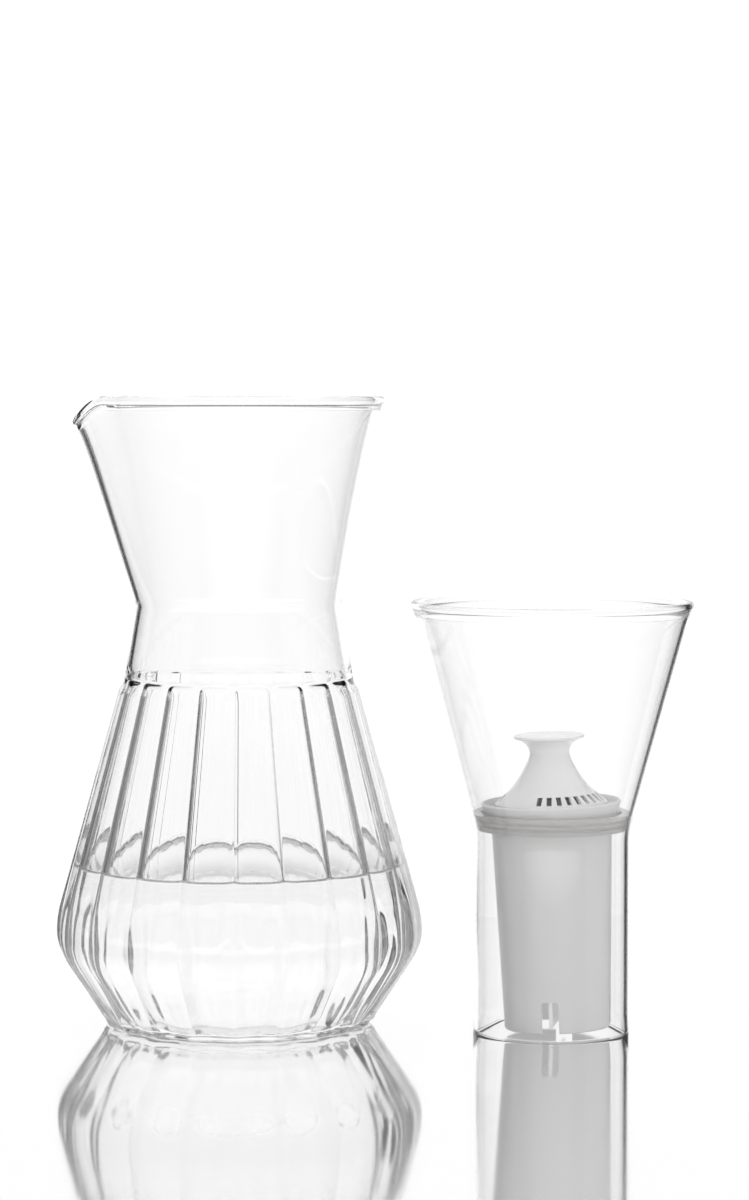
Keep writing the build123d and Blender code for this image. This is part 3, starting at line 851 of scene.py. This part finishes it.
class Paint:
    """Makes each material once."""

    def __init__(self) -> None:
        self.made: dict[str, bpy.types.Material] = {}
        self.groups = Groups()

    def make(self, finish: Finish) -> bpy.types.Material:
        """Make or fetch a finish's material.

        Args:
            finish: the finish.

        Returns:
            Its material.
        """
        if finish.name in self.made:
            return self.made[finish.name]
        material = bpy.data.materials.new(finish.name)
        material.use_nodes = True
        tree = material.node_tree
        shader = tree.nodes["Principled BSDF"]
        shader.inputs["Roughness"].default_value = finish.roughness
        shader.inputs["IOR"].default_value = finish.ior
        shader.inputs["Transmission Weight"].default_value = finish.transmission
        place = tree.nodes.new("ShaderNodeTexCoord").outputs["Object"]
        grain = self._use(tree, self.groups.grain, Scale=finish.grain_scale, Strength=finish.grain)
        tree.links.new(place, grain.inputs["Vector"])
        tree.links.new(grain.outputs["Normal"], shader.inputs["Normal"])
        shader.inputs["Base Color"].default_value = (*finish.colour, 1.0)
        if finish.mottle:
            mottle = self._use(tree, self.groups.mottle, Scale=finish.mottle_scale, Amount=finish.mottle)
            tint = tree.nodes.new("ShaderNodeVectorMath")
            tint.operation = "SCALE"
            tint.inputs[0].default_value = finish.colour
            tree.links.new(place, mottle.inputs["Vector"])
            tree.links.new(mottle.outputs["Value"], tint.inputs["Scale"])
            tree.links.new(tint.outputs[0], shader.inputs["Base Color"])
        # Painted glow: the mask makes the cup's foot emit faint light, standing in for light through its wall.
        if finish.glow:
            mask = self._use(tree, self.groups.painted_glow_mask)
            tree.links.new(place, mask.inputs["Vector"])
            tree.links.new(mask.outputs["Mask"], shader.inputs["Emission Color"])
            shader.inputs["Emission Strength"].default_value = finish.glow
        self.made[finish.name] = material
        return material

    @staticmethod
    def _use(tree: bpy.types.NodeTree, group: bpy.types.NodeTree, **values: float) -> bpy.types.Node:
        node = tree.nodes.new("ShaderNodeGroup")
        node.node_tree = group
        for name, value in values.items():
            node.inputs[name].default_value = value
        return node

    def coat(self, thing: bpy.types.Object, *finishes: Finish) -> None:
        """Give an object its finishes, in the order of its faces' material indices.

        Args:
            thing: the object.
            finishes: one finish, or one for each material index.
        """
        while len(thing.data.materials) < len(finishes):
            thing.data.materials.append(None)
        for index, finish in enumerate(finishes):
            thing.data.materials[index] = self.make(finish)
        log.info("%s: %s", thing.name, ", ".join(finish.name for finish in finishes))


class Studio:
    """Camera, floor and light."""

    SIDE_PANEL_HALF_ANGLE = 37.0
    FRONT_LEVEL = 0.22
    SIDE_LEVEL = 0.25
    TOP_LEVEL = 0.5
    POLISHED_WITHIN = 0.36
    MATT_BEYOND = 0.6
    FLOOR_GAP = 0.0002
    BACKDROP_Y = 0.3
    BACKDROP_X = 0.07
    BACKDROP_HALF_WIDTH = 0.23
    BACKDROP_TOP = 1.6
    BACKDROP_SUNK = 0.02
    TABLE_ROUGHNESS = 0.07
    MATT_LEVEL = 1.5
    FLAG_LOW = 0.35
    FLAG_HIGH = 0.5

    def camera(self) -> None:
        """Place the camera as in the photo."""
        data = bpy.data.cameras.new("camera")
        data.lens = 108.0
        data.sensor_width = 36.0
        data.sensor_fit = "AUTO"
        data.clip_start = 0.05
        data.clip_end = 60.0
        camera = bpy.data.objects.new("camera", data)
        camera.location = (0.0572, -1.514, 0.271)
        camera.rotation_euler = (math.radians(90 - 3.47), 0.0, 0.0)
        bpy.context.scene.collection.objects.link(camera)
        bpy.context.scene.camera = camera

    def floor(self) -> bpy.types.Object:
        """A pale polished table.

        Returns:
            The floor's object.
        """
        bpy.ops.mesh.primitive_plane_add(size=30.0, location=(0.0, 0.0, -self.FLOOR_GAP))
        plane = bpy.context.object
        plane.name = "floor"
        material = bpy.data.materials.new("table")
        material.use_nodes = True
        tree = material.node_tree
        tree.nodes.clear()
        out = tree.nodes.new("ShaderNodeOutputMaterial")
        mix = tree.nodes.new("ShaderNodeMixShader")
        matt = tree.nodes.new("ShaderNodeBsdfDiffuse")
        matt.inputs["Color"].default_value = (0.93, 0.93, 0.93, 1.0)
        mirror = tree.nodes.new("ShaderNodeBsdfGlossy")
        mirror.inputs["Color"].default_value = (0.99, 0.99, 0.99, 1.0)
        mirror.inputs["Roughness"].default_value = self.TABLE_ROUGHNESS
        facing = tree.nodes.new("ShaderNodeLayerWeight")
        facing.inputs["Blend"].default_value = 0.5
        curve = tree.nodes.new("ShaderNodeMapRange")
        curve.interpolation_type = "SMOOTHSTEP"
        curve.inputs["From Min"].default_value = 0.35
        curve.inputs["From Max"].default_value = 0.9
        curve.inputs["To Min"].default_value = 0.06
        curve.inputs["To Max"].default_value = 0.96
        tree.links.new(facing.outputs["Facing"], curve.inputs["Value"])
        reach = tree.nodes.new("ShaderNodeSeparateXYZ")
        fade = tree.nodes.new("ShaderNodeMapRange")
        fade.interpolation_type = "SMOOTHSTEP"
        fade.inputs["From Min"].default_value = -self.MATT_BEYOND
        fade.inputs["From Max"].default_value = -self.POLISHED_WITHIN
        polish = tree.nodes.new("ShaderNodeMath")
        polish.operation = "MULTIPLY"
        tree.links.new(tree.nodes.new("ShaderNodeTexCoord").outputs["Object"], reach.inputs[0])
        tree.links.new(reach.outputs["Y"], fade.inputs["Value"])
        tree.links.new(curve.outputs["Result"], polish.inputs[0])
        tree.links.new(fade.outputs["Result"], polish.inputs[1])
        tree.links.new(polish.outputs[0], mix.inputs["Fac"])
        tree.links.new(matt.outputs["BSDF"], mix.inputs[1])
        tree.links.new(mirror.outputs["BSDF"], mix.inputs[2])
        tree.links.new(mix.outputs["Shader"], out.inputs["Surface"])
        plane.data.materials.append(material)
        return plane

    def backdrop(self) -> bpy.types.Object:
        """A lit white panel behind the glass, seen from its front only.

        Returns:
            The panel's object.
        """
        x, half = self.BACKDROP_X, self.BACKDROP_HALF_WIDTH
        low, top = -self.BACKDROP_SUNK, self.BACKDROP_TOP
        corners = [(x - half, low), (x - half, top), (x + half, top), (x + half, low)]
        mesh = bpy.data.meshes.new("backdrop")
        mesh.from_pydata([(a, self.BACKDROP_Y, b) for a, b in corners], [], [(3, 2, 1, 0)])
        panel = bpy.data.objects.new("backdrop", mesh)
        bpy.context.scene.collection.objects.link(panel)
        material = bpy.data.materials.new("lit_panel")
        material.use_nodes = True
        tree = material.node_tree
        tree.nodes.clear()
        out = tree.nodes.new("ShaderNodeOutputMaterial")
        mix = tree.nodes.new("ShaderNodeMixShader")
        facing = tree.nodes.new("ShaderNodeNewGeometry")
        glow = tree.nodes.new("ShaderNodeEmission")
        glow.inputs["Color"].default_value = (1.0, 1.0, 1.0, 1.0)
        glow.inputs["Strength"].default_value = 1.06
        clear = tree.nodes.new("ShaderNodeBsdfTransparent")
        tree.links.new(facing.outputs["Backfacing"], mix.inputs["Fac"])
        tree.links.new(glow.outputs["Emission"], mix.inputs[1])
        tree.links.new(clear.outputs["BSDF"], mix.inputs[2])
        tree.links.new(mix.outputs["Shader"], out.inputs["Surface"])
        mesh.materials.append(material)
        return panel

    def world(self) -> None:
        """A bright field: white where it is looked through, with dark flags between its panels."""
        world = bpy.data.worlds.new("bright_field")
        world.use_nodes = True
        bpy.context.scene.world = world
        tree = world.node_tree
        tree.nodes.clear()
        node = tree.nodes.new
        link = tree.links.new
        out = node("ShaderNodeOutputWorld")
        coords = node("ShaderNodeTexCoord")
        split = node("ShaderNodeSeparateXYZ")
        link(coords.outputs["Generated"], split.inputs["Vector"])

        def maths(kind: str, a, b=None) -> bpy.types.NodeSocket:
            step = node("ShaderNodeMath")
            step.operation = kind
            for socket, value in zip(step.inputs, (a, b)):
                if isinstance(value, (int, float)):
                    socket.default_value = value
                elif value is not None:
                    link(value, socket)
            return step.outputs[0]

        def ramp(value, low: float, high: float, start: float, end: float) -> bpy.types.NodeSocket:
            step = node("ShaderNodeMapRange")
            step.interpolation_type = "LINEAR"
            link(value, step.inputs["Value"])
            for name, number in zip(("From Min", "From Max", "To Min", "To Max"), (low, high, start, end)):
                step.inputs[name].default_value = number
            return step.outputs["Result"]

        half = math.sin(math.radians(self.SIDE_PANEL_HALF_ANGLE))
        panel = ramp(maths("ABSOLUTE", split.outputs["Y"]), half, half + 0.05, self.SIDE_LEVEL, 0.0)
        front = ramp(split.outputs["Y"], -0.9, -0.75, self.FRONT_LEVEL, 0.0)
        height = ramp(maths("ABSOLUTE", split.outputs["Z"]), self.FLAG_LOW, self.FLAG_HIGH, 0.0, self.TOP_LEVEL)
        field_level = maths("MAXIMUM", maths("MAXIMUM", panel, front), height)
        seen = ramp(field_level, 0.0, 1.0, 0.03, 1.0)
        path = node("ShaderNodeLightPath")
        diffused = maths("GREATER_THAN", path.outputs["Diffuse Depth"], 0.5)
        plain = maths("MAXIMUM", diffused, path.outputs["Is Camera Ray"])
        level = node("ShaderNodeMix")
        link(plain, level.inputs["Factor"])
        link(seen, level.inputs["A"])
        link(ramp(diffused, 0.0, 1.0, 1.0, self.MATT_LEVEL), level.inputs["B"])
        back = node("ShaderNodeBackground")
        back.inputs["Color"].default_value = (1.0, 1.0, 1.0, 1.0)
        link(level.outputs["Result"], back.inputs["Strength"])
        link(back.outputs["Background"], out.inputs["Surface"])


@dataclass
class Model:
    """Everything that is drawn."""

    form: CarafeForm = field(default_factory=lambda: CarafeForm(CarafeSize()))
    funnel: Funnel = field(default_factory=lambda: Funnel(FunnelSize()))
    paint: Paint = field(default_factory=Paint)

    def glassware(self) -> None:
        """Make the glass pieces and the water."""
        carafe = Carafe(self.form)
        vessel = carafe.glass()
        self.paint.coat(vessel, CLEAR)
        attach(vessel, "carafe")
        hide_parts("carafe_glass")
        water = carafe.water()
        self.paint.coat(water, WATER)
        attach(water, "carafe")
        funnel = self.funnel.glass()
        self.paint.coat(funnel, FUNNEL_CLEAR)
        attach(funnel, "funnel")
        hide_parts("funnel_glass")

    def cartridge_shell(self) -> None:
        """Make the cartridge's cap and cup."""
        cartridge = Cartridge(CartridgeSize(), self.funnel.size)
        for piece, finishes, node in (
            (cartridge.bell(), (CAP_WHITE, CAP_PAINTED_SHADE), "filter_cap"),
            (cartridge.cup(), (CUP_WHITE,), "filter_cup"),
        ):
            self.paint.coat(piece, *finishes)
            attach(piece, "cartridge")
            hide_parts(node)

    def carried(self) -> None:
        """Paint the nodes that are drawn as they were modelled."""
        finishes = {
            "seal_ring": SILICONE,
            "inlet_screen": MESH_GREY,
            "outlet_screen": MESH_GREY,
            "filter_media": GRANULES,
        }
        for name, finish in finishes.items():
            self.paint.coat(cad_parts[name], finish)


def main() -> None:
    """Build the scene."""
    model = Model()
    model.glassware()
    model.cartridge_shell()
    model.carried()
    studio = Studio()
    studio.camera()
    studio.floor()
    studio.backdrop()
    studio.world()
    scene = bpy.context.scene
    scene.view_settings.view_transform = "Standard"
    scene.cycles.max_bounces = 32
    scene.cycles.transmission_bounces = 32
    scene.cycles.glossy_bounces = 12


if __name__ == "__main__":
    main()
